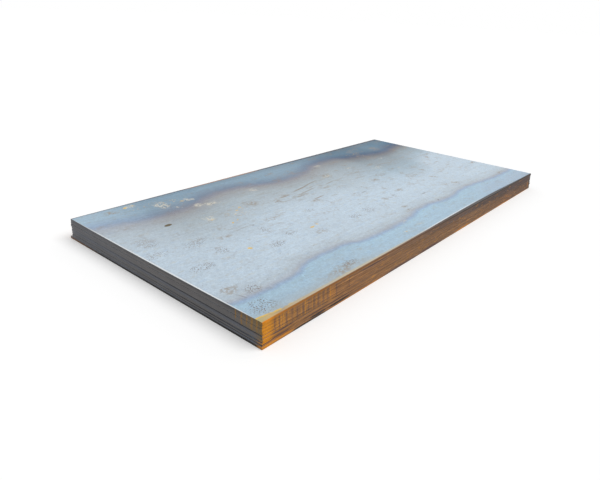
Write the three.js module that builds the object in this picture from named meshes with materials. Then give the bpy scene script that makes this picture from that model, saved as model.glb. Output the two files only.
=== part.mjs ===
// A stack of hot-rolled steel plates, cut to length from mill-edge strip and laid one on another.
// Millimetres, +Z up: +X runs along the plates, +Y across them, and the stack lies on z = 0,
// centred on the origin. Its near end is at -X and its near side at -Y.

import * as THREE from "three";

// The stock size that the plates are sold by.
const PLATE_LENGTH = 3000;
const PLATE_WIDTH = 1500;
const PLATE_THICKNESS = 15;

// The long sides are mill edges, which the rolls leave rounded: how deep the rounding is, and
// how full, from 2 for a half ellipse towards a square edge.
const MILL_EDGE_DEPTH = 3;
const MILL_EDGE_FULLNESS = 3;

// The ends are sheared: the blade draws the upper edge down, and the break slants in below.
// Heights run from -1 at a plate's underside to 1 at its top.
const ROLLOVER_DEPTH = 1.2;
const ROLLOVER_START = 0.7;
const BREAK_SLANT = 0.6;
const BREAK_START = 0.2;

// Scale and dust hold two plates this far apart where they lie closest.
const SCALE_GAP = 0.5;

// A plate that isn't quite flat stands off the one below it round the stack's near left corner.
const CORNER_REACH = 1200;

// The plates from the floor up. Mill width and shear length run over the nominal size and never
// under it: "wider" and "longer". The plates are squared to the near left corner, and "along",
// "across" and "turned", in degrees, say how far off it each was laid. "opens" is how much more
// than the scale gap shows under its near left corner.
const PLATES = [
  { name: "plate_1", longer: 3, wider: 30, along: 1, across: -1, turned: 0, opens: 0 },
  { name: "plate_2", longer: 1, wider: 10, along: 2, across: 0, turned: -0.01, opens: 0.3 },
  { name: "plate_3", longer: 6, wider: 11, along: 3, across: -1, turned: 0.01, opens: 0.5 },
  { name: "plate_4", longer: 2, wider: 10, along: 2, across: 0, turned: 0, opens: 0.1 },
  { name: "plate_5", longer: 5, wider: 8, along: 2, across: 1, turned: 0.02, opens: 0.8 },
  { name: "plate_6", longer: 1, wider: 9, along: -1, across: 0, turned: 0, opens: 0 },
  { name: "plate_7", longer: 4, wider: 8, along: 0, across: 1, turned: 0.01, opens: 0.1 },
  { name: "plate_8", longer: 2, wider: 9, along: 0, across: -1, turned: -0.01, opens: 0 },
];

// How finely a plate is divided: an edge band of its own all round, facets of about this size
// inside it, and this many steps in its thickness. Past the rim share a point lies on a rim.
const EDGE_BAND = 40;
const FACET_SIZE = 300;
const STEPS_IN_THICKNESS = 8;
const RIM_SHARE = 0.9999;

// The colours of the scale on the steel, from the lowest plate to the top one.
const LOW_PLATE_COLOUR = new THREE.Color(0x5d6066);
const TOP_PLATE_COLOUR = new THREE.Color(0xa9b9c6);
const SCALE_ROUGHNESS = 0.45;
const SCALE_METALNESS = 0.5;

// How far a rounded mill edge stands back at a height.
function millEdgeInset(height) {
  const bulge = 1 - Math.abs(height) ** MILL_EDGE_FULLNESS;
  return MILL_EDGE_DEPTH * (1 - bulge ** (1 / MILL_EDGE_FULLNESS));
}

// How far a sheared end stands back at a height.
function shearedEndInset(height) {
  const rolled = Math.max(0, height - ROLLOVER_START) / (1 - ROLLOVER_START);
  const broken = Math.max(0, BREAK_START - height) / (1 + BREAK_START);
  return ROLLOVER_DEPTH * (1 - Math.sqrt(1 - rolled ** 2)) + BREAK_SLANT * broken;
}

// How far a plate is lifted at a distance from its near left corner, which is lifted by "rise".
function liftAt(fromCorner, rise) {
  return rise * (1 - THREE.MathUtils.smoothstep(fromCorner, 0, CORNER_REACH));
}

// Two edge bands and the facets between them.
function divisionsOf(size) {
  return 2 + Math.round((size - 2 * EDGE_BAND) / FACET_SIZE);
}

// Where a point of an evenly divided size goes: in by "inset" on the rim, and otherwise outwards,
// until the outermost division is as wide as the edge band.
function placeAlong(value, size, inset) {
  const half = size / 2;
  if (Math.abs(value) > half * RIM_SHARE) return Math.sign(value) * (half - inset);
  return (value * (half - EDGE_BAND)) / (half * (1 - 2 / divisionsOf(size)));
}

// A divided box whose rims are drawn in to the shape of the edges, closer stepped towards its
// faces, and lifted at its near left corner.
function plateGeometry(length, width, rise) {
  const geometry = new THREE.BoxGeometry(
    length, width, PLATE_THICKNESS, divisionsOf(length), divisionsOf(width), STEPS_IN_THICKNESS);
  const { position } = geometry.attributes;
  for (let i = 0; i < position.count; i++) {
    const height = Math.sin((position.getZ(i) / PLATE_THICKNESS) * Math.PI);
    const x = placeAlong(position.getX(i), length, shearedEndInset(height));
    const y = placeAlong(position.getY(i), width, millEdgeInset(height));
    const lift = liftAt(Math.hypot(x + length / 2, y + width / 2), rise);
    position.setXYZ(i, x, y, (height * PLATE_THICKNESS) / 2 + lift);
  }
  geometry.computeVertexNormals();
  return geometry;
}

function plateMaterial(layer) {
  const color = LOW_PLATE_COLOUR.clone().lerp(TOP_PLATE_COLOUR, layer / (PLATES.length - 1));
  return new THREE.MeshStandardMaterial({
    color,
    roughness: SCALE_ROUGHNESS,
    metalness: SCALE_METALNESS,
  });
}

// One plate, laid on those below it, which lift it by "rise" at the near left corner.
function plate(row, layer, rise) {
  const length = PLATE_LENGTH + row.longer;
  const width = PLATE_WIDTH + row.wider;
  const mesh = new THREE.Mesh(plateGeometry(length, width, rise), plateMaterial(layer));
  mesh.name = row.name;
  mesh.position.set(
    row.along + length / 2,
    row.across + width / 2,
    layer * (PLATE_THICKNESS + SCALE_GAP) + PLATE_THICKNESS / 2,
  );
  mesh.rotation.z = THREE.MathUtils.degToRad(row.turned);
  return mesh;
}

// All the plates, squared to the near left corner, each following the bend of those below it.
function plateStack() {
  const stack = new THREE.Group();
  let rise = 0;
  PLATES.forEach((row, layer) => {
    rise += row.opens;
    stack.add(plate(row, layer, rise));
  });
  return stack;
}

// Moves a group so that it stands on z = 0, centred on the origin.
function centreOnFloor(group) {
  const box = new THREE.Box3().setFromObject(group, true);
  const middle = box.getCenter(new THREE.Vector3());
  group.position.set(-middle.x, -middle.y, -box.min.z);
}

const part = new THREE.Group();
const stack = plateStack();
centreOnFloor(stack);
part.add(stack);

export default part;
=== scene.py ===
"""The finish of a stack of eight hot-rolled steel plates: their edges, mill scale, heat tint and rust.

Metres, +Z up: +X runs along the plates, +Y across them, and the stack lies on z = 0. Its near end is
at -X and its near side at -Y, so its nearest corner is at -X, -Y.
"""

import math

import bpy
from mathutils import Matrix, Vector


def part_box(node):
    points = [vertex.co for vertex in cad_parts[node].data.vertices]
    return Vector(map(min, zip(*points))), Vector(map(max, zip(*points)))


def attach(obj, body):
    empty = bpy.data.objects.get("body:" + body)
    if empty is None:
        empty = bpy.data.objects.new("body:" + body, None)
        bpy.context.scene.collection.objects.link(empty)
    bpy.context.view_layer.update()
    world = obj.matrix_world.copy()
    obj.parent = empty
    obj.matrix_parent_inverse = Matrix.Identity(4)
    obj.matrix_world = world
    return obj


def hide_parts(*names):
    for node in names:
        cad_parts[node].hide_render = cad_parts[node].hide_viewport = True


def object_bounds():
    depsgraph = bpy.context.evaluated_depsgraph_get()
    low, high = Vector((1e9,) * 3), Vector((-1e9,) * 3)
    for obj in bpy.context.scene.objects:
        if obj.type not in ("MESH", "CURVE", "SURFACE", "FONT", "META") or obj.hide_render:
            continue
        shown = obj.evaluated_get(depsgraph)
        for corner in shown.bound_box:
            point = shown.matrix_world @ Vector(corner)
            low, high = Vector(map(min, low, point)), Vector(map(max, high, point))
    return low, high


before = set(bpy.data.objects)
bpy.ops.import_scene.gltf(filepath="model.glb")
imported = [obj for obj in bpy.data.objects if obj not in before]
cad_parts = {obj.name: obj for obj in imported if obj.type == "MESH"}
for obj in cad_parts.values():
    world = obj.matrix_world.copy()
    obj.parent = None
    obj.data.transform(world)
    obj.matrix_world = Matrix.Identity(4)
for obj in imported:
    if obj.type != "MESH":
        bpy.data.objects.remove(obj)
CAD_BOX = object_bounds()

bl_info = {
    "name": "Steel plate stack",
    "version": (1, 0, 0),
    "blender": (4, 5, 0),
    "location": "View3D > Sidebar > Steel plates",
    "description": "Makes a stack of hot-rolled steel plates with mill scale, heat tint and rusted edges",
    "category": "Add Mesh",
}

BODY = "root"

# The plates from the floor up. The lowest lies flat, so its height is the thickness of them all.
PLATES = sorted(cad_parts)
LOWEST, TOP = PLATES[0], PLATES[-1]
PLATE_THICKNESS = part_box(LOWEST)[1].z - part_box(LOWEST)[0].z

# The long sides are mill edges, which the rolls leave rounded: how deep the rounding is, and how
# full, from 2 for a half ellipse towards a square edge.
MILL_EDGE_DEPTH = 0.003
MILL_EDGE_FULLNESS = 3

# The ends are sheared: the blade draws the upper edge down, and the break slants in below.
# Heights run from -1 at a plate's underside to 1 at its top.
ROLLOVER_DEPTH = 0.0012
ROLLOVER_START = 0.7
BREAK_SLANT = 0.0006
BREAK_START = 0.2

# A plate that isn't quite flat stands off the one below it, this far round the stack's nearest corner.
CORNER_REACH = 1.2

# The stack's outline, from which the finishes measure.
NEAR_END = CAD_BOX[0].x
NEAR_SIDE, FAR_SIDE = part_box(TOP)[0].y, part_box(TOP)[1].y
TOP_HEIGHT = CAD_BOX[1].z


def length(name, description, default):
    return bpy.props.FloatProperty(
        name=name, description=description, default=default, min=0, unit="LENGTH", precision=4)


def share(name, description, default):
    return bpy.props.FloatProperty(
        name=name, description=description, default=default, min=0, max=1, subtype="FACTOR")


def colour(name, description, default):
    """A colour as a paint chart gives it, 0 to 255."""
    return bpy.props.IntVectorProperty(
        name=name, description=description, default=default, min=0, max=255, size=3)


class PlateShape(bpy.types.PropertyGroup):
    """How finely the plates are modelled, and how far their edges stray from true."""

    facet: length("Facet", "Size of the facets on the flat faces", 0.025)
    rim_steps: bpy.props.IntProperty(
        name="Rim steps", description="Steps from the middle of an edge to its rim", default=6, min=2)
    waviness: length("Waviness", "How far a mill edge wanders in and out", 0.0006)
    waves: length("Waves", "Distance between the waves of a mill edge", 0.3)
    nicks: length("Nicks", "How deep the nicks in a sheared end are", 0.0003)


class StageLook(bpy.types.PropertyGroup):
    """The floor and the light."""

    floor_size: length("Floor", "How far the floor reaches each way", 60)
    floor: colour("Floor colour", "Colour of the floor", (230, 230, 230))
    floor_glow: share("Floor glow", "What lifts the lit floor to white in the picture", 0.3)
    sky: share("Sky", "Strength of the light from all round", 0.52)
    lamp: bpy.props.FloatProperty(
        name="Lamp", description="Strength of the soft lamp", default=1.5, min=0)
    lamp_spread: bpy.props.FloatProperty(
        name="Lamp spread", description="How wide the soft lamp looks from the stack",
        default=math.radians(40), subtype="ANGLE")


# The finishes. Places on the stack are in metres, and colours are as a paint chart gives them, 0 to 255.

# Where most of a noise's values lie between 0 and 1, and where the most common ones do.
NOISE_RANGE = (0.25, 0.75)
NOISE_CORE = (0.3, 0.7)

# A mark goes right through a piece, so that it shows whatever the height of the surface.
MARK_DEPTH = 1000


def linear(chart):
    """A paint chart's colour as the light that it reflects."""
    shares = [value / 255 for value in chart]
    return (*[s / 12.92 if s <= 0.04045 else ((s + 0.055) / 1.055) ** 2.4 for s in shares], 1)


class Nodes:
    """A node tree in the making: each step adds nodes and gives back their output."""

    def __init__(self, tree):
        self.tree = tree

    def node(self, kind, inputs=None, **settings):
        """Adds a node with these settings, and sets or links its inputs."""
        node = self.tree.nodes.new("ShaderNode" + kind)
        for name, value in settings.items():
            setattr(node, name, value)
        for key, value in (inputs or {}).items():
            self.feed(node.inputs[key], value)
        return node.outputs

    def feed(self, socket, value):
        if isinstance(value, bpy.types.NodeSocket):
            self.tree.links.new(value, socket)
        else:
            socket.default_value = value

    def math(self, operation, first, second=0.0):
        return self.node("Math", {0: first, 1: second}, operation=operation)[0]

    def plus(self, first, second):
        return self.math("ADD", first, second)

    def minus(self, first, second):
        return self.math("SUBTRACT", first, second)

    def times(self, product, *factors):
        for factor in factors:
            product = self.math("MULTIPLY", product, factor)
        return product

    def spread(self, value, start, end, low=0.0, high=1.0, **settings):
        """Goes evenly from "low" to "high" as a value goes from start to end."""
        inputs = {"Value": value, "From Min": start, "From Max": end, "To Min": low, "To Max": high}
        return self.node("MapRange", inputs, **settings)[0]

    def fade(self, value, start, end, low=0.0, high=1.0):
        """Goes smoothly from "low" to "high" as a value goes from start to end."""
        return self.spread(value, start, end, low, high, interpolation_type="SMOOTHSTEP")

    def seen(self):
        """1 where a surface is looked at, itself or in a reflection or through glass, and 0 otherwise."""
        rays = self.node("LightPath")
        mirrored = self.math("MAXIMUM", rays["Is Camera Ray"], rays["Is Glossy Ray"])
        return self.math("MAXIMUM", mirrored, rays["Is Transmission Ray"])


class Finish(Nodes):
    """A material in the making, which varies with the place on its piece."""

    def __init__(self, name):
        self.material = bpy.data.materials.new(name)
        self.material.use_nodes = True
        super().__init__(self.material.node_tree)
        self.shader = self.tree.nodes["Principled BSDF"]
        self.place = self.node("TexCoord")["Object"]
        self.x, self.y, self.z = self.node("SeparateXYZ", {0: self.place})

    def at(self, x, y, z):
        return self.node("CombineXYZ", {0: x, 1: y, 2: z})[0]

    def stretched(self, *scales):
        """The place, drawn out by its own scale along x, y and z."""
        return self.node("Mapping", {"Vector": self.place, "Scale": scales})[0]

    def torn(self, place, reach, scale):
        """A place, pushed about by up to half of "reach" along x and y, for ragged outlines."""
        push = self.node("TexNoise", {"Vector": place, "Scale": scale, "Detail": 3})["Color"]
        moved = self.node("VectorMath", {0: push, 1: (*reach, 0), 2: place}, operation="MULTIPLY_ADD")[0]
        back = (reach[0] / 2, reach[1] / 2, 0)
        return self.node("VectorMath", {0: moved, 1: back}, operation="SUBTRACT")[0]

    def worn(self, name):
        """A measure that the modelling leaves on a plate's points."""
        return self.node("Attribute", attribute_name=name)["Fac"]

    def noise(self, place, scale, detail, roughness=0.5):
        inputs = {"Vector": place, "Scale": scale, "Detail": detail, "Roughness": roughness}
        return self.node("TexNoise", inputs)[0]

    def mix(self, first, second, amount, blend="MIX"):
        """One colour over another by "amount"."""
        inputs = {"Factor": amount, 6: first, 7: second}
        return self.node("Mix", inputs, data_type="RGBA", blend_type=blend)[2]

    def painted(self, tone, chart, amount, blend="MIX"):
        """A colour with one from a paint chart over it by "amount"."""
        return self.mix(tone, linear(chart), amount, blend)

    def shaded(self, tone, amount):
        """A colour made darker or lighter by a factor."""
        return self.node("HueSaturation", {"Color": tone, "Value": amount})[0]

    def varied(self, tone, noise, low, high, usual=NOISE_RANGE):
        """A colour made darker and lighter by a noise, from "low" to "high" over its usual values."""
        return self.shaded(tone, self.spread(noise, *usual, low, high))

    def ramp(self, value, stops):
        """The colour at a value, from stops of a value and a colour."""
        start, end = stops[0][0], stops[-1][0]
        ramp = self.tree.nodes.new("ShaderNodeValToRGB")
        elements = ramp.color_ramp.elements
        while len(elements) < len(stops):
            elements.new(0.5)
        for element, (at, tone) in zip(elements, stops):
            element.position = (at - start) / (end - start)
            element.color = linear(tone)
        self.feed(ramp.inputs[0], self.spread(value, start, end))
        return ramp.outputs[0]

    def line(self, value, points):
        """A smooth curve through points of a value and a height."""
        starts, heights = zip(*points)
        low, high = min(heights), max(heights)
        curve = self.tree.nodes.new("ShaderNodeFloatCurve")
        dots = curve.mapping.curves[0].points
        while len(dots) < len(points):
            dots.new(0.5, 0.5)
        for dot, (at, height) in zip(dots, points):
            dot.location = (at - starts[0]) / (starts[-1] - starts[0]), (height - low) / (high - low)
        curve.mapping.update()
        self.feed(curve.inputs["Value"], self.spread(value, starts[0], starts[-1]))
        return self.spread(curve.outputs[0], 0, 1, low, high)

    def marks(self, place, rows, core):
        """Oval marks, full in this share of their size and faded round it, from rows of a middle x and
        y, a length, a width and, for some, a turn in degrees."""
        found = 0.0
        for x, y, size, width, *turn in rows:
            inputs = {
                "Vector": place, "Location": (x, y, 0), "Rotation": (0, 0, math.radians(sum(turn))),
                "Scale": (size / 2, width / 2, MARK_DEPTH)}
            oval = self.node("Mapping", inputs, vector_type="TEXTURE")[0]
            inside = self.node("TexGradient", {"Vector": oval}, gradient_type="SPHERICAL")["Fac"]
            found = self.math("MAXIMUM", found, inside)
        return self.fade(found, 0, 1 - core)

    def dots(self, scale, size, share):
        """Round dots in some of the cells of an uneven grid."""
        cells = self.node("TexVoronoi", {"Vector": self.place, "Scale": scale})
        taken = self.math("LESS_THAN", self.node("SeparateColor", {0: cells["Color"]})[0], share)
        return self.times(self.fade(cells["Distance"], size, size / 2), taken)

    def bump(self, height, depth):
        """Relief from a height of 0 to 1, this deep."""
        inputs = {"Height": height, "Distance": depth}
        self.feed(self.shader.inputs["Normal"], self.node("Bump", inputs)["Normal"])

    def finished(self, tone, roughness, metallic):
        self.feed(self.shader.inputs["Base Color"], tone)
        self.feed(self.shader.inputs["Roughness"], roughness)
        self.feed(self.shader.inputs["Metallic"], metallic)
        return self.material


# Where the strip cooled fast along its sides, the scale is blue. The edge of each margin wanders
# along the plate: x along it and y across it.
NEAR_MARGIN = (
    (-1.5, -0.575), (-1.2, -0.599), (-1.08, -0.588), (-0.92, -0.54), (-0.78, -0.541), (-0.66, -0.554),
    (-0.52, -0.594), (-0.35, -0.6), (-0.05, -0.585), (0.16, -0.552), (0.44, -0.586), (0.7, -0.56),
    (1.0, -0.586), (1.25, -0.603), (1.5, -0.602))
FAR_MARGIN = (
    (-1.5, 0.56), (-1.35, 0.532), (-1.15, 0.477), (-1.04, 0.474), (-0.84, 0.51), (-0.56, 0.571),
    (-0.4, 0.54), (-0.25, 0.49), (-0.1, 0.464), (0.05, 0.474), (0.22, 0.525), (0.4, 0.584),
    (0.55, 0.594), (0.7, 0.54), (0.85, 0.505), (1.0, 0.465), (1.15, 0.442), (1.3, 0.48), (1.5, 0.51))

# How thick the scale is along the far side, along the plate: 0 is thin, 1 medium and 2 heavy; the darker
# medium and heavy colours are partly painted shade.
SCALE_WEIGHT_AND_SHADE = (
    (-1.5, 0.1), (-1.35, 0.25), (-1.2, 0.6), (-1.05, 0.95), (0.2, 1), (0.35, 1.2), (0.5, 1.5),
    (0.65, 1.75), (0.8, 2), (1.05, 2), (1.2, 1.75), (1.35, 1.9), (1.5, 2))

# How fast the far tints pass into the middle of the plate, along it.
TINT_FALL = ((-1.5, 1), (-0.5, 1), (-0.1, 1.2), (0.2, 0.85), (0.8, 1), (1.0, 1.2), (1.2, 1.8), (1.5, 2))

# Patches of dark pits, brown stains, pale scuffs, specks of rust, scratches, long strokes, sprinkled
# rust and a burn on the upper face: middle x and y, length, width, and turn where there is one.
PITTED = (
    (-1.395, 0.168, 0.13, 0.16), (-1.44, 0.02, 0.17, 0.08), (-1.215, 0.01, 0.22, 0.1, 15),
    (-1.178, -0.148, 0.11, 0.1), (-1.365, -0.23, 0.17, 0.09), (-0.93, -0.29, 0.14, 0.09),
    (-1.34, -0.54, 0.11, 0.1), (-1.415, -0.67, 0.17, 0.15), (-0.83, -0.69, 0.14, 0.06),
    (-0.84, -0.115, 0.07, 0.13), (-0.765, -0.24, 0.11, 0.09), (-0.3, -0.335, 0.11, 0.08),
    (-0.15, -0.33, 0.12, 0.09), (-0.435, -0.08, 0.12, 0.07), (-1.02, 0.56, 0.12, 0.2),
    (-1.05, 0.44, 0.1, 0.1))
STAINED = (
    (-1.42, -0.48, 0.12, 0.12), (-1.06, -0.035, 0.12, 0.08), (-0.9, -0.705, 0.42, 0.09),
    (-0.63, -0.34, 0.1, 0.08), (-0.265, 0, 0.13, 0.06), (-0.6, 0.25, 0.16, 0.11),
    (-0.45, 0.16, 0.09, 0.08), (-0.345, 0.205, 0.09, 0.06), (-0.26, 0.14, 0.25, 0.07, 8),
    (-1.303, 0.67, 0.12, 0.08), (0.285, -0.155, 0.09, 0.08), (0.33, -0.25, 0.1, 0.06),
    (0.1, -0.29, 0.08, 0.06), (0.06, -0.455, 0.08, 0.06), (0.7, -0.43, 0.1, 0.07),
    (0.8, -0.455, 0.1, 0.08), (0.81, -0.26, 0.08, 0.07), (0.915, -0.1, 0.08, 0.07),
    (0.71, -0.05, 0.09, 0.07), (0.66, -0.14, 0.08, 0.06), (0.4, -0.005, 0.1, 0.08),
    (-0.7, -0.025, 0.15, 0.07, 5), (0.03, -0.517, 0.08, 0.05), (0.8, -0.466, 0.1, 0.06),
    (0.7, 0.26, 0.12, 0.06), (1.29, 0.05, 0.08, 0.06), (1.44, -0.29, 0.15, 0.06),
    (1.31, -0.575, 0.11, 0.05), (0.2, 0.3, 0.13, 0.13), (1.19, 0.53, 0.14, 0.16))
SCUFFED = (
    (-0.948, 0.222, 0.11, 0.09, 30), (-0.855, 0.437, 0.09, 0.08), (-0.78, 0.41, 0.13, 0.06),
    (-0.42, 0.43, 0.08, 0.08), (-1.02, 0.58, 0.11, 0.17), (-0.97, 0.49, 0.03, 0.05),
    (-0.845, 0.56, 0.07, 0.08), (-0.775, 0.169, 0.15, 0.014, -8), (-1.18, 0.695, 0.1, 0.04),
    (0.95, 0.31, 0.06, 0.06), (0.36, 0.51, 0.1, 0.06), (0.69, 0.17, 0.15, 0.07),
    (0.2, 0.29, 0.14, 0.03, 6), (0.49, 0.31, 0.1, 0.04, 6), (0.825, 0.055, 0.07, 0.04),
    (-0.16, -0.59, 0.1, 0.016), (-0.285, -0.68, 0.08, 0.018), (-0.123, -0.6725, 0.06, 0.02),
    (1.07, -0.6, 0.1, 0.016))
RUST_SPECKS = (
    (-1.065, -0.227, 0.034, 0.03), (-0.618, -0.267, 0.05, 0.022), (-0.57, -0.257, 0.014, 0.01),
    (-0.75, 0.22, 0.024, 0.018), (-0.705, 0.24, 0.022, 0.016), (-0.9, 0.085, 0.02, 0.014),
    (-0.85, 0.1, 0.016, 0.012), (-0.885, 0.565, 0.026, 0.022), (-1.2, 0.69, 0.026, 0.018),
    (-1.15, 0.69, 0.022, 0.018), (-0.96, 0.196, 0.02, 0.014), (-0.285, -0.68, 0.014, 0.008))
SCRATCHED = (
    (0.11, -0.11, 0.1, 0.014, 4), (0.2, -0.29, 0.05, 0.014), (0.3975, -0.41, 0.07, 0.02),
    (0.35, -0.545, 0.05, 0.016, 40), (-0.217, -0.06, 0.08, 0.008, 88), (-0.84, -0.02, 0.024, 0.02),
    (-0.93, -0.013, 0.2, 0.006, 4), (-1.42, -0.555, 0.09, 0.008, -72), (0.285, 0.475, 0.06, 0.02))
STROKES = (
    (-0.154, 0.231, 0.3, 0.016, 10), (-0.02, 0.262, 0.26, 0.012, 10), (-0.15, 0.167, 0.26, 0.01, 8),
    (-0.204, 0.029, 0.17, 0.013, 4), (-0.36, 0.19, 0.14, 0.014, 2), (0.1, 0.18, 0.14, 0.01, 6))
SPRINKLED = ((-1.15, 0.66, 0.3, 0.13), (-0.76, 0.2, 0.3, 0.16, 30), (-0.93, 0.6, 0.25, 0.14))
BURN = (-1.178, 0.3, 0.053, 0.03, 5)


class ScaleLook(bpy.types.PropertyGroup):
    """The colours and the relief of the mill scale, as it cooled."""

    centre: colour("Centre", "Scale in the middle of a plate", (193, 210, 224))
    pale: colour("Pale", "Scale beside the tint", (184, 198, 209))
    brown: colour("Brown", "Tint inside a margin's edge", (172, 181, 193))
    violet: colour("Violet", "Tint just inside a margin's edge", (158, 174, 196))
    blue: colour("Blue", "Tint on a margin's edge", (151, 176, 204))
    clear: colour("Clear", "Scale just outside a margin's edge", (167, 198, 218))
    margin: colour("Margin", "Scale along the sides", (168, 195, 214))
    # The medium and heavy colours are darker partly as painted shade on the far part of the face.
    medium_wide: colour("Medium wide", "Medium scale far from a margin's edge", (179, 194, 205))
    medium_pale: colour("Medium pale", "Medium scale beside the tint", (164, 177, 185))
    medium_brown: colour("Medium brown", "Tint in medium scale inside an edge", (146, 149, 154))
    medium_violet: colour("Medium violet", "Tint in medium scale just inside", (127, 130, 144))
    medium_blue: colour("Medium blue", "Tint in medium scale on a margin's edge", (107, 126, 149))
    medium_margin: colour("Medium margin", "Medium scale along the sides", (124, 153, 174))
    heavy_wide: colour("Heavy wide", "Heavy scale far from a margin's edge", (160, 181, 195))
    heavy_pale: colour("Heavy pale", "Heavy scale beside the tint", (132, 147, 157))
    heavy_brown: colour("Heavy brown", "Tint in heavy scale inside an edge", (101, 104, 111))
    heavy_violet: colour("Heavy violet", "Tint in heavy scale just inside", (75, 83, 104))
    heavy_blue: colour("Heavy blue", "Tint in heavy scale on a margin's edge", (12, 68, 106))
    heavy_margin: colour("Heavy margin", "Heavy scale along the sides", (62, 105, 131))
    warm: colour("Warm", "What the scale is tinged with in places", (255, 247, 238))
    cool: colour("Cool", "What the scale is tinged with in between", (244, 249, 255))
    dusty: colour("Dusty", "What the near margin is tinged with at its far end", (253, 247, 249))
    stain: colour("Stain", "Brown stains", (142, 124, 104))
    pit: colour("Pits", "Dark pits", (112, 98, 94))
    scuff: colour("Scuffs", "Pale scuffs", (224, 218, 200))
    stroke: colour("Strokes", "Long brown strokes", (142, 130, 118))
    burn: colour("Burn", "A burnt speck", (78, 62, 8))
    # A painted highlight: the bright line along the near end's rolled-over edge, and the glint inside the
    # near rim.
    lip_highlight: colour("Lip", "The bright lip that the shear's blade draws down", (228, 235, 240))
    # The far rim's colour is partly painted shade where the edge turns away.
    rim: colour("Rim", "The far rim, where the scale ends", (40, 46, 58))
    relief: length("Relief", "How deep the pits and the grain of the upper face are", 0.0004)
    hidden_relief: length("Hidden relief", "How deep the grain between the plates is", 0.0003)
    hidden_metal: share("Hidden metal", "How metallic the faces between the plates are", 0.2)


# The grain of the scale, from coarse to fine: how fine it is, and its darkest and its lightest.
GRAIN = ((45, 0.94, 1.06), (100, 0.9, 1.1), (260, 0.88, 1.12))


def heat_tints(f, look):
    """The scale's colours: blue margins, the tints on their edges and the middle of the plate."""
    ragged = f.spread(f.noise(f.place, 16, 4), 0, 1, -0.013, 0.013)
    from_near = f.plus(f.minus(f.y, f.line(f.x, NEAR_MARGIN)), ragged)
    from_far = f.plus(f.minus(f.line(f.x, FAR_MARGIN), f.y), ragged)
    near = f.ramp(from_near, (
        (-0.09, look.margin), (-0.02, look.clear), (0, look.blue), (0.01, look.violet),
        (0.025, look.brown), (0.055, look.pale), (0.14, look.centre)))
    beyond = f.math("MAXIMUM", f.minus(from_far, 0.08), 0)
    falling = f.times(beyond, f.minus(f.line(f.x, TINT_FALL), 1))
    from_far = f.plus(from_far, falling)
    thin = f.ramp(from_far, (
        (-0.08, look.margin), (0.01, look.blue), (0.04, look.violet), (0.08, look.brown),
        (0.2, look.pale), (0.5, look.centre)))
    medium = f.ramp(from_far, (
        (-0.1, look.medium_margin), (0, look.medium_blue), (0.04, look.medium_violet),
        (0.08, look.medium_brown), (0.2, look.medium_pale), (0.4, look.medium_wide),
        (0.6, look.centre)))
    heavy = f.ramp(from_far, (
        (-0.1, look.heavy_margin), (0, look.heavy_blue), (0.045, look.heavy_violet),
        (0.08, look.heavy_brown), (0.2, look.heavy_pale), (0.5, look.heavy_wide),
        (0.75, look.centre)))
    # Thicker scale towards the far end, darkened further by painted shade.
    weight_and_shade = f.line(f.x, SCALE_WEIGHT_AND_SHADE)
    far = f.mix(f.mix(thin, medium, f.spread(weight_and_shade, 0, 1)), heavy, f.spread(weight_and_shade, 1, 2))
    tone = f.mix(near, far, f.fade(f.y, -0.38, -0.25))
    return f.shaded(tone, f.fade(f.x, -1.5, -0.4, 0.95, 1))


def rolled(f, tone, look):
    """Streaks along the plate, clouds, grain, warm and cool tinges, smears and drawn-out stains."""
    streaks = f.noise(f.stretched(1, 45, 1), 1.4, 4)
    clouds = f.noise(f.place, 5, 3)
    tone = f.varied(tone, streaks, 0.955, 1.06)
    tone = f.varied(tone, clouds, 0.95, 1.05)
    for fineness, low, high in GRAIN:
        tone = f.varied(tone, f.noise(f.place, fineness, 2), low, high)
    tinge = f.noise(f.stretched(1, 2.2, 1), 17, 4, 0.6)
    tone = f.painted(tone, look.warm, f.fade(tinge, 0.55, 0.72), "MULTIPLY")
    tone = f.painted(tone, look.cool, f.fade(tinge, 0.45, 0.3), "MULTIPLY")
    patchy = f.fade(f.noise(f.place, 60, 4, 0.6), 0.4, 0.6)
    smears = f.fade(f.noise(f.stretched(0.7, 1.4, 1), 13, 6, 0.62), 0.51, 0.66)
    worst = f.times(f.fade(f.y, -0.45, 0.1, 0.45, 1), f.fade(f.x, -0.7, 0, 0.6, 1))
    tone = f.painted(tone, look.stain, f.times(smears, patchy, worst, 0.55))
    drawn = f.fade(f.noise(f.stretched(4, 30, 1), 1, 4, 0.6), 0.57, 0.66)
    across = f.times(f.fade(f.y, -0.05, 0.12), f.fade(f.y, 0.45, 0.36))
    along = f.times(f.fade(f.x, -0.9, -0.3), f.fade(f.x, 1.2, 0.7))
    return f.painted(tone, look.stain, f.times(drawn, f.times(across, along), 0.3))


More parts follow.
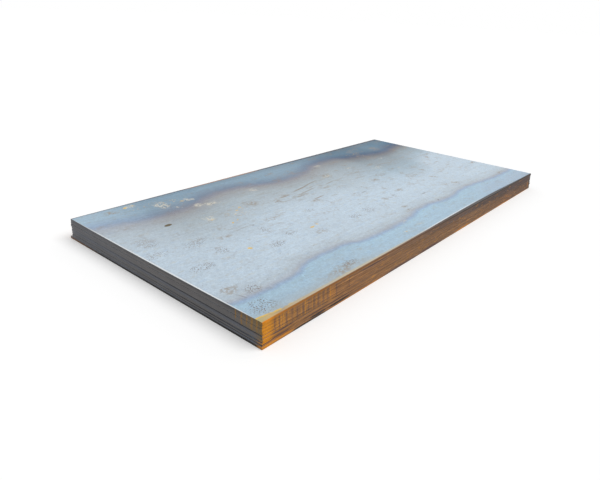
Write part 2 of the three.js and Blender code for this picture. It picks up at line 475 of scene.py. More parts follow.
def marked(f, tone, pits, look, rust):
    """Stains, pits, scuffs, scratches and specks of rust, from handling and standing outdoors."""
    torn = f.torn(f.place, (0.04, 0.04), 35)
    ragged = f.torn(f.place, (0.09, 0.09), 24)
    patchy = f.fade(f.noise(f.place, 75, 4, 0.6), 0.4, 0.55)
    tone = f.painted(tone, look.stain, f.times(f.marks(ragged, STAINED, 0), patchy, 0.8))
    tone = f.painted(tone, look.pit, f.times(pits, f.fade(f.y, 0.2, -0.5, 0.65, 1)))
    tone = f.painted(tone, look.pit, f.times(f.dots(42, 0.16, 0.2), 0.45))
    flaked = f.fade(f.noise(f.stretched(1, 1.6, 1), 70, 3), 0.44, 0.54)
    fainter = f.fade(f.x, -0.7, -0.1, 0.72, 0.5)
    tone = f.painted(tone, look.scuff, f.times(f.marks(ragged, SCUFFED, 0.3), flaked, fainter))
    tone = f.painted(tone, rust.dark, f.times(f.marks(f.place, SCRATCHED, 0.2), 0.5))
    tone = f.painted(tone, look.stroke, f.marks(f.place, STROKES, 0.3))
    sprinkled = f.times(f.dots(75, 0.36, 0.3), f.marks(torn, SPRINKLED, 0.3))
    specks = f.math("MAXIMUM", f.marks(torn, RUST_SPECKS, 0.6), sprinkled)
    tone = f.painted(tone, rust.speck, f.times(specks, 0.9))
    return f.painted(tone, look.burn, f.marks(f.place, (BURN,), 0.8))


# How wide the mill edge's own rust shows on the near rim, along the plate.
RIM_WIDTH = (
    (-1.5, 0.006), (-1.2, 0.0075), (-0.85, 0.009), (-0.55, 0.0105), (-0.2, 0.0145), (0.2, 0.021),
    (0.6, 0.0235), (1.0, 0.017), (1.3, 0.0105), (1.5, 0.007))

# The colours of that rust, by the distance from the near end.
RIM_RUST = (
    (0, (222, 134, 14)), (0.045, (214, 130, 16)), (0.07, (176, 110, 24)), (0.15, (156, 98, 30)),
    (0.5, (130, 84, 36)), (0.9, (110, 72, 38)), (1.3, (86, 57, 35)), (1.6, (62, 45, 34)),
    (2.1, (42, 32, 29)), (3, (50, 42, 41)))


def rim_rust(f):
    """The rust on the rim of a mill edge."""
    return f.ramp(f.minus(f.x, NEAR_END), RIM_RUST)


def crept_rust(f, tone, from_side, from_end, rust):
    """The thin rust that creeps in from the near side, its broken border and the dust beside it."""
    ragged = f.spread(f.noise(f.place, 50, 4), 0, 1, -0.005, 0.005)
    reach = f.plus(f.fade(from_end, 0.13, 0, 0.0235, 0.039), f.fade(from_end, 0.7, 1.2, 0, -0.002))
    outside = f.plus(f.minus(from_side, reach), ragged)
    crept = f.times(f.fade(outside, 0.004, -0.006), f.fade(from_end, 2.0, 1.1, 0, 0.85))
    film = f.ramp(from_end, (
        (0, rust.olive), (0.06, rust.straw), (0.11, rust.ochre), (0.18, rust.buff),
        (0.4, rust.pale), (0.9, rust.cream)))
    haze = f.times(f.fade(from_side, 0.09, 0.035), f.fade(from_end, 1.0, 0.75))
    tone = f.painted(tone, rust.haze, f.times(haze, 0.3))
    film = f.shaded(film, f.fade(outside, -0.013, -0.004, 1.02, 0.93))
    tone = f.mix(tone, film, crept)
    border = f.times(f.fade(f.math("ABSOLUTE", outside), 0.007, 0.002), f.fade(from_end, 0.24, 0.12))
    broken = f.fade(f.noise(f.place, 32, 2), 0.38, 0.48)
    return f.painted(tone, rust.speck, f.times(border, broken, 0.85))


def near_rim(f, tone, from_side, look):
    """The near rim: dust and painted shade beside it, a painted glint, and the mill edge's own rust."""
    inside = f.minus(from_side, f.line(f.x, RIM_WIDTH))
    dusty = f.times(f.fade(from_side, 0.2, 0.1), f.fade(f.x, 0.6, 0.95))
    tone = f.painted(tone, look.dusty, dusty, "MULTIPLY")
    shade = f.times(f.fade(from_side, 0.09, 0.03), f.fade(f.x, -0.6, -0.1), 0.04)
    tone = f.shaded(tone, f.minus(1, shade))
    # A painted glint inside the near rim.
    lit = f.times(f.fade(f.x, -0.4, 0), f.fade(f.x, 0.7, 0.3))
    tone = f.painted(tone, look.lip_highlight, f.times(f.fade(inside, 0.0125, 0.005), lit, 0.8))
    return f.mix(tone, rim_rust(f), f.fade(inside, 0.001, -0.001))


def far_rim(f, tone, from_back, look, rust):
    """The far rim: painted shade beside it, and a dark rim that is the end of the scale and also painted
    shade where the edge turns away, with bright rust in places.
    """
    across = f.math("DIVIDE", from_back, f.fade(f.x, -1.3, 1, 0.014, 0.034))
    shade = f.times(f.fade(across, 4, 1), f.fade(f.x, -1.5, -0.9, 0.02, 0.17))
    tone = f.shaded(tone, f.minus(1, shade))
    orange = f.times(f.fade(f.x, -0.8, -0.65), f.fade(f.x, 0, -0.2, 0, 0.5))
    # The dark rim colour is partly painted shade.
    rim = f.mix(linear(look.rim), linear(rust.bright), orange)
    return f.mix(tone, rim, f.times(f.fade(across, 1.1, 0.6), f.fade(f.x, -1.5, -0.9, 0.5, 0.85)))


def rimmed(f, tone, look, rust):
    """What the edges bring on to the face: rust, the end of the scale, painted shade and a painted glint
    beside the rims, and a painted highlight on the shear's rolled-over edge.
    """
    from_side = f.minus(f.y, NEAR_SIDE)
    from_end = f.minus(f.x, NEAR_END)
    tone = crept_rust(f, tone, from_side, from_end, rust)
    tone = near_rim(f, tone, from_side, look)
    from_back = f.minus(FAR_SIDE, f.y)
    tone = far_rim(f, tone, from_back, look, rust)
    # A painted highlight along the near end's rolled-over edge.
    lip_highlight = f.times(f.fade(from_end, 0.006, 0.003), f.fade(from_back, 0.02, 0.3, 0.2, 1))
    return f.painted(tone, look.lip_highlight, f.times(lip_highlight, f.fade(from_side, 0.03, 0.12)))


def tinted_scale(look, rust):
    """The upper face of the top plate."""
    f = Finish("heat_tinted_scale")
    pits = f.times(f.dots(125, 0.48, 0.95), f.marks(f.torn(f.place, (0.055, 0.055), 30), PITTED, 0.5))
    tone = heat_tints(f, look)
    tone = rolled(f, tone, look)
    tone = marked(f, tone, pits, look, rust)
    tone = rimmed(f, tone, look, rust)
    grain = f.noise(f.place, 200, 3)
    f.bump(f.minus(f.times(grain, 0.5), f.times(pits, 0.6)), look.relief)
    return f.finished(tone, f.spread(f.noise(f.place, 5, 3), *NOISE_CORE, 0.42, 0.55), 0)


def plain_scale(look):
    """The faces that lie on one another: dull scale with rolling streaks."""
    f = Finish("plain_scale")
    streaks = f.noise(f.stretched(1, 30, 1), 2, 4)
    blotches = f.noise(f.place, 7, 5)
    tone = f.mix(linear(look.pit), linear(look.blue), f.spread(blotches, *NOISE_CORE))
    tone = f.varied(tone, streaks, 0.75, 1.05)
    f.bump(f.noise(f.place, 220, 3), look.hidden_relief)
    return f.finished(tone, f.spread(blotches, *NOISE_CORE, 0.45, 0.65), look.hidden_metal)


# Marks on the near long side: middle x and z, length, height, and lean where there is one. Very dark
# marks at the foot, which are dirt and painted shadow under the stack, dark bands, faint bands, pale
# bands, and fresh rust, above and along the foot.
SOOTED_AND_SHADOWED = (
    (-1.26, 0.004, 0.17, 0.019), (-1.175, 0.004, 0.17, 0.019), (-1.157, 0.016, 0.135, 0.012),
    (-1.005, 0.0145, 0.21, 0.012), (1.485, 0.065, 0.03, 0.16))
DARK_BANDS = (
    (-1.385, 0.0457, 0.16, 0.0075), (-1.397, 0.0255, 0.15, 0.01), (-1.473, 0.0228, 0.1, 0.0075),
    (-1.17, 0.0315, 0.24, 0.0095), (-1.01, 0.0292, 0.24, 0.0085), (-0.73, 0.106, 0.26, 0.012),
    (-0.45, 0.0075, 0.42, 0.013), (-0.14, 0.0085, 0.36, 0.015), (1.2, 0.095, 0.8, 0.014, -0.4))
FAINT_BANDS = (
    (-1.0, 0.089, 1.2, 0.017), (-1.15, 0.058, 0.6, 0.009), (-0.75, 0.049, 0.5, 0.01),
    (-0.2, 0.087, 0.9, 0.014), (0.5, 0.098, 0.9, 0.014), (-1.2, 0.073, 0.4, 0.006),
    (1.22, 0.058, 0.24, 0.045), (0.92, 0.072, 0.2, 0.04), (0.3, 0.053, 0.6, 0.01))
PALE_BANDS = (
    (-1.0, 0.0665, 1.0, 0.008), (-1.2, 0.038, 0.55, 0.008), (-0.8, 0.035, 0.6, 0.01),
    (-1.1, 0.0795, 0.7, 0.006), (-1.28, 0.0165, 0.3, 0.008), (-0.85, 0.0985, 0.5, 0.007),
    (0.3, 0.063, 0.7, 0.01), (0.2, 0.04, 0.7, 0.01), (-1.05, 0.022, 0.3, 0.006))
RUSTED = (
    (-1.06, 0.086, 0.07, 0.1, 4), (1.01, 0.05, 0.07, 0.02, -20), (1.06, 0.034, 0.05, 0.016, -20),
    (1.46, 0.045, 0.06, 0.07), (1.48, 0.02, 0.04, 0.05))
FOOT_RUST = (
    (-0.78, 0.002, 0.4, 0.016), (-0.99, 0.002, 0.26, 0.012), (0.28, 0.008, 0.3, 0.016),
    (0.55, 0.003, 0.4, 0.012), (0.96, 0.003, 0.4, 0.02), (1.3, 0.002, 0.5, 0.012))

# Where rust has run down the near long side, dark and bright, by its near end, and the middle height,
# width, length and lean of each run.
DARK_RUNS = (
    -1.432, -1.405, -1.363, -1.33, -1.297, -1.26, -1.225, -1.19, -1.16, -1.125, -1.094, -1.03, -0.933)
BRIGHT_RUNS = (-1.418, -1.351, -1.313, -1.273, -1.2, -1.174, -1.141, -1.109)
BRIGHTEST_RUNS = (-1.396, -1.38, -1.246, -1.076)
RUN_SHAPE = (0.088, 0.009, 0.1, 4)

# How the rust on the near long side ages along its upper and its lower part, from the near end.
AGED_ABOVE = (
    (0.04, (206, 132, 28)), (0.062, (154, 106, 48)), (0.15, (138, 98, 62)), (0.6, (135, 98, 66)),
    (1.2, (118, 90, 68)), (1.6, (100, 79, 67)))
AGED_BELOW = (
    (0.045, (204, 134, 28)), (0.072, (164, 112, 50)), (0.2, (147, 105, 64)), (0.6, (143, 102, 65)),
    (1.2, (135, 100, 68)), (2, (132, 99, 70)), (2.5, (123, 91, 67)), (3, (104, 81, 66)))


class RustLook(bpy.types.PropertyGroup):
    """The colours, the relief and the gloss of the rust."""

    fresh: colour("Fresh", "Fresh rust at the nearest corner", (226, 148, 32))
    bright: colour("Bright", "Bright rust", (206, 134, 44))
    speck: colour("Specks", "Specks of rust on the upper face", (232, 190, 66))
    olive: colour("Olive", "Thin rust on the nearest corner of the upper face", (182, 166, 102))
    straw: colour("Straw", "Thin rust beside the nearest corner", (206, 170, 94))
    ochre: colour("Ochre", "Thin rust a little farther on", (182, 148, 92))
    buff: colour("Buff", "Thin rust where it narrows", (196, 170, 122))
    haze: colour("Haze", "Dust beside the thin rust", (166, 160, 148))
    pale: colour("Pale", "Thin rust that creeps over the upper face", (200, 184, 150))
    cream: colour("Cream", "Thin rust where it fades out", (204, 192, 164))
    brown: colour("Brown", "Old rust on a mill edge", (142, 100, 59))
    dull: colour("Dull", "Rust that is dark with scale, far from the near end", (90, 74, 66))
    stroke: colour("Strokes", "Bright strokes down a mill edge", (196, 134, 46))
    dark: colour("Dark", "The darkest rust", (84, 64, 62))
    # Dirt, and painted shadow under the stack, at the foot.
    soot_and_shadow: colour("Soot", "Dirt at the foot and between the plates", (40, 33, 31))
    relief: length("Relief", "How deep the layers and the grains of the rust are", 0.0008)
    roughness: share("Roughness", "How dull the rust is", 0.85)


def rusted_mill_edge(rust):
    """The long sides: rust that is bright at the near end and dull towards the far one."""
    f = Finish("rusted_mill_edge")
    from_end = f.minus(f.x, NEAR_END)
    upper = f.ramp(from_end, ((0, rust.fresh), *AGED_ABOVE, (2, rust.dull), (3, rust.dull)))
    lower = f.ramp(from_end, ((0, rust.fresh), *AGED_BELOW))
    sinking = f.plus(f.z, f.times(from_end, 0.018))
    tone = f.mix(lower, upper, f.fade(sinking, 0.1, 0.13))

    layers = f.noise(f.stretched(2.5, 1, 150), 1, 5, 0.65)
    bands = f.noise(f.stretched(1.6, 1, 34), 1, 3)
    contrast = f.fade(from_end, 0.045, 0.09, 0.1, 1)
    flecks = f.noise(f.stretched(24, 1, 110), 1, 3)
    for pattern, depth in ((layers, 0.35), (bands, 0.12), (flecks, 0.15)):
        uneven = f.times(contrast, f.spread(pattern, *NOISE_CORE, -depth, depth))
        tone = f.shaded(tone, f.plus(1, uneven))

    wavering = f.torn(f.at(f.x, f.z, 0), (0.008, 0.003), 45)
    reach = f.fade(f.noise(f.stretched(30, 1, 30), 1, 2), 0.3, 0.5, 0.4, 1)
    for places, ink, depth in (
            (DARK_RUNS, rust.dark, 0.6),
            (BRIGHT_RUNS, rust.stroke, 0.5),
            (BRIGHTEST_RUNS, rust.stroke, 0.85)):
        runs = f.marks(wavering, [(x, *RUN_SHAPE) for x in places], 0.5)
        tone = f.painted(tone, ink, f.times(runs, reach, depth))

    grains = f.noise(f.place, 320, 3)
    tone = f.varied(tone, grains, 0.84, 1.16, NOISE_CORE)
    tone = f.painted(tone, rust.stroke, f.times(f.fade(flecks, 0.58, 0.7), f.times(contrast, 0.4)))
    side = f.torn(f.at(f.x, f.z, 0), (0.04, 0.003), 40)
    tone = f.shaded(tone, f.spread(f.marks(side, FAINT_BANDS, 0.2), 0, 1, 1, 0.84))
    tone = f.shaded(tone, f.spread(f.marks(side, PALE_BANDS, 0.3), 0, 1, 1, 1.26))
    # The dark marks at the foot are dirt and painted shadow under the stack.
    for places, core, ink, depth in (
            (RUSTED, 0.2, rust.bright, 0.3),
            (FOOT_RUST, 0.4, rust.bright, 0.7),
            (DARK_BANDS, 0.6, rust.dark, 0.85),
            (SOOTED_AND_SHADOWED, 0.6, rust.soot_and_shadow, 0.9)):
        tone = f.painted(tone, ink, f.times(f.marks(side, places, core), depth))
    low = f.times(f.fade(f.z, 0.021, 0.016), f.fade(f.z, 0.004, 0.008))
    tone = f.painted(tone, rust.bright, f.times(low, f.fade(from_end, 0.21, 0.14), 0.85))
    crest = f.fade(f.z, TOP_HEIGHT - 0.008, TOP_HEIGHT - 0.005)
    tone = f.mix(tone, rim_rust(f), crest)
    f.bump(f.plus(f.times(grains, 0.4), f.times(layers, 0.6)), rust.relief)
    return f.finished(tone, rust.roughness, 0)


# How high up the near end the painted highlight starts on the edge that the shear's blade draws down, and
# how strong it is: y across the plates.
LIP_HIGHLIGHT_EDGE = ((-0.765, 0.1262), (-0.6, 0.1233), (-0.35, 0.1207), (0, 0.119), (0.4, 0.1198), (0.745, 0.1229))
LIP_HIGHLIGHT_STRENGTH = (
    (-0.765, 0.4), (-0.7, 0.55), (-0.6, 0.7), (-0.4, 1), (-0.15, 1), (0.15, 0.95), (0.45, 0.7),
    (0.65, 0.3), (0.745, 0.1))

# Dark seams, which are painted shade in the gaps between the plates, and bright bands, which are in part
# painted light over the joints, along the near end, and drips down it by the nearest corner: middle y and
# z, length, height, and turn where there is one.
SEAMS = (
    (-0.765, 0.0626, 2.9, 0.0062, -0.24), (-0.765, 0.0324, 1.8, 0.0062, -0.18),
    (-0.765, 0.0202, 2.2, 0.0055))
BRIGHT_BANDS = (
    (-0.1, 0.094, 1.5, 0.013), (-0.1, 0.0695, 1.4, 0.009), (-0.6, 0.0455, 0.7, 0.008),
    (-0.6, 0.0275, 0.7, 0.006), (0, 0.103, 1.2, 0.007))
DRIPS = (
    (-0.61, 0.1, 0.012, 0.07), (-0.645, 0.094, 0.018, 0.11), (-0.676, 0.1, 0.013, 0.08),
    (-0.705, 0.093, 0.02, 0.12), (-0.733, 0.098, 0.014, 0.1), (-0.755, 0.092, 0.018, 0.13))


class EndLook(bpy.types.PropertyGroup):
    """The colours, the relief and the gloss of the sheared ends."""

    steel: colour("Steel", "The upper plates' ends", (96, 94, 94))
    cool: colour("Cool", "The ends of the plates below the seam", (92, 95, 102))
    warm: colour("Warm", "The ends of the lower plates", (99, 98, 98))
    low: colour("Low", "The upper part of the lowest end", (104, 105, 111))
    dim: colour("Dim", "The strip below the lip", (70, 69, 71))
    # Dirt, and painted shadow under the stack, at the foot.
    black_dirt_and_shadow: colour("Black", "The dirt at the foot", (8, 8, 9))
    # Painted shade in the gaps between the plates.
    seam: colour("Seams", "Dark seams between the plates", (40, 41, 45))
    olive: colour("Olive", "Dirt near the corner", (126, 100, 46))
    drip: colour("Drips", "Rust that has run down the end", (150, 108, 30))
    # A painted highlight along the top plate's rolled-over edge.
    lip_highlight: colour("Lip", "The bright lip", (244, 249, 252))
    relief: length("Relief", "How deep the streaks of the shear are", 0.0005)
    roughness: share("Roughness", "How dull the ends are", 0.6)
    metal: share("Metal", "How metallic the ends are", 0.3)


def sheared_end(look, rust):
    """The ends: streaks down the shear, seams of painted shade, bands in part of painted light, dirt and
    painted shadow at the foot, rust by the nearest corner, and a painted highlight along the top plate's
    rolled-over edge.
    """
    f = Finish("sheared_end")
    height = f.worn("height_on_edge")
    from_side = f.minus(f.y, NEAR_SIDE)
    # The darkest colour at the foot is dirt and painted shadow under the stack.
    tone = f.ramp(f.z, (
        (0, look.black_dirt_and_shadow), (0.0092, look.black_dirt_and_shadow), (0.0128, look.low), (0.019, look.low), (0.025, look.warm),
        (0.044, look.warm), (0.048, look.cool), (0.06, look.cool), (0.066, look.steel),
        (0.11, look.steel), (0.1145, look.dim), (0.125, look.dim)))
    tone = f.painted(tone, look.cool, f.times(f.fade(f.y, 0, 0.65), f.fade(f.z, 0.018, 0.025, 0, 0.5)))
    # Each plate's end is lighter towards its foot: the lighter break of the shear, and painted light that
    # lifts the shade over the joints.
    tone = f.shaded(tone, f.fade(height, -0.6, -0.95, 1, 1.12))
    streaks = f.noise(f.stretched(1, 300, 14), 1, 3)
    lines = f.noise(f.stretched(1, 2, 260), 1, 3)
    tone = f.varied(tone, streaks, 0.9, 1.1, NOISE_CORE)
    tone = f.varied(tone, f.noise(f.place, 8, 4), 0.93, 1.07, NOISE_CORE)
    tone = f.varied(tone, lines, 0.9, 1.1, NOISE_CORE)

    reach = f.fade(f.z, 0.056, 0.064, 0.06, 0.2)
    tone = f.painted(tone, look.olive, f.fade(f.math("DIVIDE", from_side, reach), 1, 0, 0, 0.6))
    end = f.torn(f.at(f.y, f.z, 0), (0.008, 0.0015), 30)
    # Bright bands, in part painted light that lifts the shade over the joints.
    tone = f.shaded(tone, f.spread(f.marks(end, BRIGHT_BANDS, 0.3), 0, 1, 1, 1.14))
    runs = f.times(f.marks(end, DRIPS, 0.3), f.fade(f.z, 0.06, 0.064))
    runs = f.times(runs, f.fade(f.noise(f.place, 60, 3), 0.35, 0.55, 0.3, 0.8))
    tone = f.painted(tone, look.drip, runs)
    corner = f.times(f.fade(from_side, 0.04, 0.01), f.fade(f.z, 0.04, 0.035))
    tone = f.painted(tone, rust.bright, f.times(corner, f.fade(lines, 0.45, 0.6), 0.8))
    # Painted shade along the gaps between the plates.
    tone = f.painted(tone, look.seam, f.times(f.marks(end, SEAMS, 0.5), 0.95))
    foot = f.times(f.fade(f.z, 0.013, 0.008), f.fade(f.y, 0.4, 0.74))
    tone = f.painted(tone, rust.brown, f.times(foot, 0.6))

    # A painted highlight along the top plate's rolled-over edge.
    above = f.minus(f.z, f.line(f.y, LIP_HIGHLIGHT_EDGE))
    lip_highlight = f.times(f.fade(above, -0.0008, 0.0008), f.line(f.y, LIP_HIGHLIGHT_STRENGTH))
    tone = f.painted(tone, look.lip_highlight, lip_highlight)
    f.bump(f.plus(f.times(streaks, 0.6), f.times(lines, 0.4)), look.relief)
    return f.finished(tone, look.roughness, look.metal)


# Modelling steps.

# The subdivide operator makes up to about this many facets along an edge.
MOST_FACETS = 100

# An edge runs along an axis when at least this share of its direction does.
ALONG_SHARE = 0.99

# A point is on a worn edge up to this many times the edge's depth, past any rounding of its place.
EDGE_REACH = 1.01


def deselect():
    bpy.ops.object.select_all(action="DESELECT")


def select_parts(piece, kind, wanted):
    """Selects the "vertices", "edges" or "polygons" in edit mode that "wanted" says yes to."""
    modes = {"vertices": "VERT", "edges": "EDGE", "polygons": "FACE"}
    bpy.ops.mesh.select_mode(type=modes[kind])
    bpy.ops.mesh.select_all(action="DESELECT")
    bpy.ops.object.mode_set(mode="OBJECT")
    for part in getattr(piece.data, kind):
        part.select = bool(wanted(part))
    bpy.ops.object.mode_set(mode="EDIT")


def divide(piece, axis, parts):
    """Divides a piece into equal parts along x, y or z."""
    points = piece.data.vertices

    def runs_along(edge):
        start, end = (points[i].co for i in edge.vertices)
        return abs((end - start).normalized()[axis]) > ALONG_SHARE

    select_parts(piece, "edges", runs_along)
    bpy.ops.mesh.subdivide(number_cuts=parts - 1)


def mill_edge_inset(height):
    """How far a rounded mill edge stands back at a height."""
    bulge = 1 - abs(height) ** MILL_EDGE_FULLNESS
    return MILL_EDGE_DEPTH * (1 - bulge ** (1 / MILL_EDGE_FULLNESS))


def sheared_end_inset(height):
    """How far a sheared end stands back at a height."""
    rolled = max(0.0, height - ROLLOVER_START) / (1 - ROLLOVER_START)
    broken = max(0.0, BREAK_START - height) / (1 + BREAK_START)
    return ROLLOVER_DEPTH * (1 - math.sqrt(1 - rolled ** 2)) + BREAK_SLANT * broken


class Lie:
    """Where a plate lies and how big it is, from its node's own corners."""

    def __init__(self, node):
        points = [vertex.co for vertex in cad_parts[node].data.vertices]
        nearest = min(points, key=lambda p: p.x + p.y)
        at_far_end = max(points, key=lambda p: p.x - p.y)
        at_far_side = min(points, key=lambda p: p.x - p.y)
        along = (at_far_end - nearest).xy
        across = (at_far_side - nearest).xy
        low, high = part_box(node)
        self.length = along.length
        self.width = across.length
        self.turn = math.atan2(along.y, along.x)
        self.rise = high.z - low.z - PLATE_THICKNESS
        self.middle = Vector((*(nearest.xy + (along + across) / 2), low.z + PLATE_THICKNESS / 2))

    def off_end(self, point):
        """How far a point is inside the nearer end."""
        return self.length / 2 - abs(point.x - self.middle.x)

    def off_side(self, point):
        """How far a point is inside the nearer long side."""
        return self.width / 2 - abs(point.y - self.middle.y)


def shape_rims(piece, lie, steps):
    """Draws a block's rings in to the section of the edges, closer stepped towards its faces."""
    divide(piece, 2, 2 * steps)
    half = PLATE_THICKNESS / 2
    near_ring = half / steps / 4
    for i in range(2 * steps + 1):
        level = i / steps - 1
        even = lie.middle.z + half * level
        height = math.sin(math.pi / 2 * level)
        select_parts(piece, "vertices", lambda v: not v.hide and abs(v.co.z - even) < near_ring)
        pull = (
            1 - 2 * sheared_end_inset(height) / lie.length,
            1 - 2 * mill_edge_inset(height) / lie.width,
            1)
        bpy.ops.transform.resize(value=pull, center_override=lie.middle)
        bpy.ops.transform.translate(value=(0, 0, lie.middle.z + half * height - even))
        bpy.ops.mesh.hide(unselected=False)
    bpy.ops.mesh.reveal(select=False)


def lift_corner(piece, lie):
    """Lifts the nearest corner, and less and less of the plate round it."""
    rim_reach = 2 * MILL_EDGE_DEPTH

    def on_corner(vertex):
        nearest = vertex.co.x < lie.middle.x and vertex.co.y < lie.middle.y
        return nearest and lie.off_end(vertex.co) + lie.off_side(vertex.co) < rim_reach

    select_parts(piece, "vertices", on_corner)
    bpy.ops.transform.translate(
        value=(0, 0, lie.rise), use_proportional_edit=True, proportional_edit_falloff="SMOOTH",
        proportional_size=CORNER_REACH)


def turn_plate(piece, lie):
    """Turns the whole plate. Without a window, the operator turns clockwise."""
    bpy.ops.mesh.select_all(action="SELECT")
    bpy.ops.transform.rotate(value=-lie.turn, orient_axis="Z", center_override=lie.middle)


def wander(piece, group, depth, size):
    """Draws a group of points in by a wandering depth, which is all of it at most."""
    texture = bpy.data.textures.new(group, "CLOUDS")
    texture.noise_scale = size
    wave = piece.modifiers.new(group, "DISPLACE")
    wave.texture = texture
    wave.texture_coords = "LOCAL"
    wave.vertex_group = group
    wave.strength = depth
    wave.mid_level = 1
    bpy.ops.object.modifier_apply(modifier=wave.name)


def group_points(piece, name, wanted):
    group = piece.vertex_groups.new(name=name)
    group.add([vertex.index for vertex in piece.data.vertices if wanted(vertex)], 1, "REPLACE")


def leave_heights(piece, lie):
    """Leaves on each point its height on the plate's edge, from -1 to 1."""
    heights = piece.data.attributes.new("height_on_edge", "FLOAT", "POINT")
    for i, vertex in enumerate(piece.data.vertices):
        heights.data[i].value = (vertex.co.z - lie.middle.z) / (PLATE_THICKNESS / 2)


def even_shading(piece):
    """Shades the rounded rims smooth and keeps the flat faces flat."""
    bpy.ops.object.shade_smooth()
    weigh = piece.modifiers.new("Even shading", "WEIGHTED_NORMAL")
    weigh.keep_sharp = True
    bpy.ops.object.modifier_apply(modifier=weigh.name)


def give_finish(piece, materials, face_kind):
    """Gives each face the material of its kind."""
    kinds = list(materials)
    for kind in kinds:
        piece.data.materials.append(materials[kind])
    for face in piece.data.polygons:
        face.material_index = kinds.index(face_kind(face))


def model_plate(node, shape, materials):
    """One plate: a block divided into facets, its rims shaped, its corner lifted and its edges worn."""
    lie = Lie(node)
    deselect()
    bpy.ops.mesh.primitive_cube_add(
        size=1, location=lie.middle, scale=(lie.length, lie.width, PLATE_THICKNESS))
    piece = bpy.context.object
    piece.name = piece.data.name = "hot_rolled_" + node
    bpy.ops.object.transform_apply(location=True, rotation=True, scale=True)
    bpy.ops.object.mode_set(mode="EDIT")
    shape_rims(piece, lie, shape.rim_steps)
    divide(piece, 0, min(MOST_FACETS, round(lie.length / shape.facet)))
    divide(piece, 1, min(MOST_FACETS, round(lie.width / shape.facet)))
    bpy.ops.object.mode_set(mode="OBJECT")
    leave_heights(piece, lie)
    bpy.ops.object.mode_set(mode="EDIT")
    lift_corner(piece, lie)
    bpy.ops.object.mode_set(mode="OBJECT")
    group_points(piece, "mill edges", lambda v: lie.off_side(v.co) < EDGE_REACH * MILL_EDGE_DEPTH)
    group_points(piece, "sheared ends", lambda v: lie.off_end(v.co) < EDGE_REACH * ROLLOVER_DEPTH)
    wander(piece, "mill edges", shape.waviness, shape.waves)
    wander(piece, "sheared ends", shape.nicks, shape.facet)

    def face_kind(face):
        if lie.off_side(face.center) < MILL_EDGE_DEPTH:
            return "mill edge"
        if lie.off_end(face.center) < ROLLOVER_DEPTH:
            return "sheared end"
        return "upper face" if face.normal.z > 0 else "underside"

    give_finish(piece, materials, face_kind)
    bpy.ops.object.mode_set(mode="EDIT")
    turn_plate(piece, lie)
    bpy.ops.object.mode_set(mode="OBJECT")
    even_shading(piece)
    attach(piece, BODY)
    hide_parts(node)


class STACK_OT_lay_plates(bpy.types.Operator):
    """Model the eight plates, each in the place of its solid"""

    bl_idname = "stack.lay_plates"
    bl_label = "Lay the plates"

    def execute(self, context):
        scene = context.scene
        hidden = plain_scale(scene.scale_look)
        materials = {
            "upper face": hidden,
            "underside": hidden,
            "mill edge": rusted_mill_edge(scene.rust_look),
            "sheared end": sheared_end(scene.end_look, scene.rust_look)}
        for node in PLATES:
            if node == TOP:
                materials["upper face"] = tinted_scale(scene.scale_look, scene.rust_look)
            model_plate(node, scene.plate_shape, materials)
        return {"FINISHED"}


# The camera: where it stands, how it is turned, and how far its picture is off its axis.
CAMERA_PLACE = (-2.795, -2.047, 1.285)
CAMERA_HEADING = 39.10
CAMERA_TILT = 18.15
CAMERA_ROLL = 2.73
FOCAL_LENGTH = 32.29
CAMERA_SHIFT = (-0.0264, -0.0892)

# The soft lamp shines from this side.
LAMP_FROM = (0.3, -0.6, 1)

# The colour of the light.
WHITE = (1, 1, 1, 1)


def set_camera():
    """The camera, with the picture's middle off its axis."""
    data = bpy.data.cameras.new("camera")
    camera = bpy.data.objects.new("camera", data)
    bpy.context.scene.collection.objects.link(camera)
    data.lens = FOCAL_LENGTH
    data.shift_x, data.shift_y = CAMERA_SHIFT
    camera.matrix_world = (
        Matrix.Translation(CAMERA_PLACE)
        @ Matrix.Rotation(math.radians(CAMERA_HEADING - 90), 4, "Z")
        @ Matrix.Rotation(math.radians(90 - CAMERA_TILT), 4, "X")
        @ Matrix.Rotation(math.radians(CAMERA_ROLL), 4, "Z"))
    bpy.context.scene.camera = camera


def lay_floor(look):
    """A matt floor, which glows a little where it is looked at."""
    deselect()
    bpy.ops.mesh.primitive_plane_add(size=2 * look.floor_size)
    floor = bpy.context.object
    floor.name = "floor"
    f = Finish("floor")
    f.feed(f.shader.inputs["Specular IOR Level"], 0)
    f.feed(f.shader.inputs["Emission Color"], WHITE)
    f.feed(f.shader.inputs["Emission Strength"], f.times(f.seen(), look.floor_glow))
    floor.data.materials.append(f.finished(linear(look.floor), 1, 0))


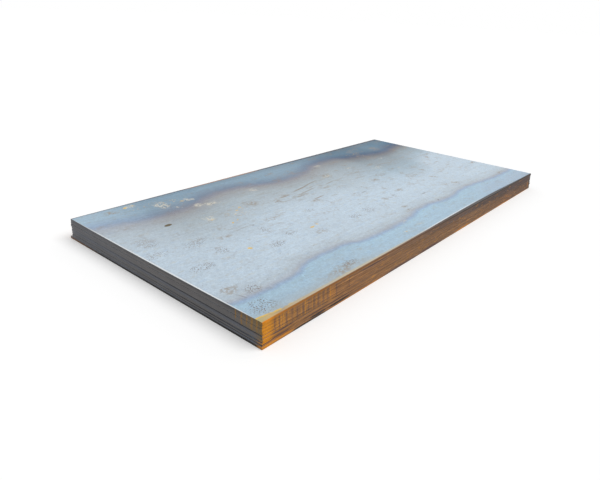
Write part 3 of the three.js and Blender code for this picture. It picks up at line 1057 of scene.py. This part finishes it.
def light_stage(look):
    """Even light from all round, and a soft lamp."""
    world = bpy.data.worlds.new("studio")
    bpy.context.scene.world = world
    world.use_nodes = True
    nodes = Nodes(world.node_tree)
    background = nodes.tree.nodes["Background"].inputs
    nodes.feed(background["Color"], WHITE)
    nodes.feed(background["Strength"], nodes.spread(nodes.seen(), 0, 1, look.sky, 1))
    lamp = bpy.data.lights.new("lamp", "SUN")
    lamp.energy = look.lamp
    lamp.angle = look.lamp_spread
    holder = bpy.data.objects.new("lamp", lamp)
    bpy.context.scene.collection.objects.link(holder)
    holder.rotation_mode = "QUATERNION"
    holder.rotation_quaternion = Vector(LAMP_FROM).to_track_quat("Z", "Y")


class STACK_OT_set_stage(bpy.types.Operator):
    """Set the floor, the light and the camera round the stack"""

    bl_idname = "stack.set_stage"
    bl_label = "Set the stage"

    def execute(self, context):
        look = context.scene.stage_look
        set_camera()
        lay_floor(look)
        light_stage(look)
        bpy.context.scene.view_settings.view_transform = "Standard"
        return {"FINISHED"}


class STACK_PT_sidebar(bpy.types.Panel):
    """The steps and settings of the stack, in the 3D view's sidebar"""

    bl_label = "Steel plates"
    bl_idname = "STACK_PT_sidebar"
    bl_space_type = "VIEW_3D"
    bl_region_type = "UI"
    bl_category = "Steel plates"

    def draw(self, context):
        for operator in OPERATORS:
            self.layout.operator(operator.bl_idname)
        for name, group in SETTINGS.items():
            for setting in group.__annotations__:
                self.layout.prop(getattr(context.scene, name), setting)


SETTINGS = {
    "plate_shape": PlateShape, "scale_look": ScaleLook, "rust_look": RustLook, "end_look": EndLook,
    "stage_look": StageLook}
OPERATORS = (STACK_OT_set_stage, STACK_OT_lay_plates)


def register():
    for group in (*SETTINGS.values(), *OPERATORS, STACK_PT_sidebar):
        bpy.utils.register_class(group)
    for name, group in SETTINGS.items():
        setattr(bpy.types.Scene, name, bpy.props.PointerProperty(type=group))


def unregister():
    for name in SETTINGS:
        delattr(bpy.types.Scene, name)
    for group in reversed((*SETTINGS.values(), *OPERATORS, STACK_PT_sidebar)):
        bpy.utils.unregister_class(group)


def main():
    register()
    bpy.ops.stack.set_stage()
    bpy.ops.stack.lay_plates()


if __name__ == "__main__":
    main()
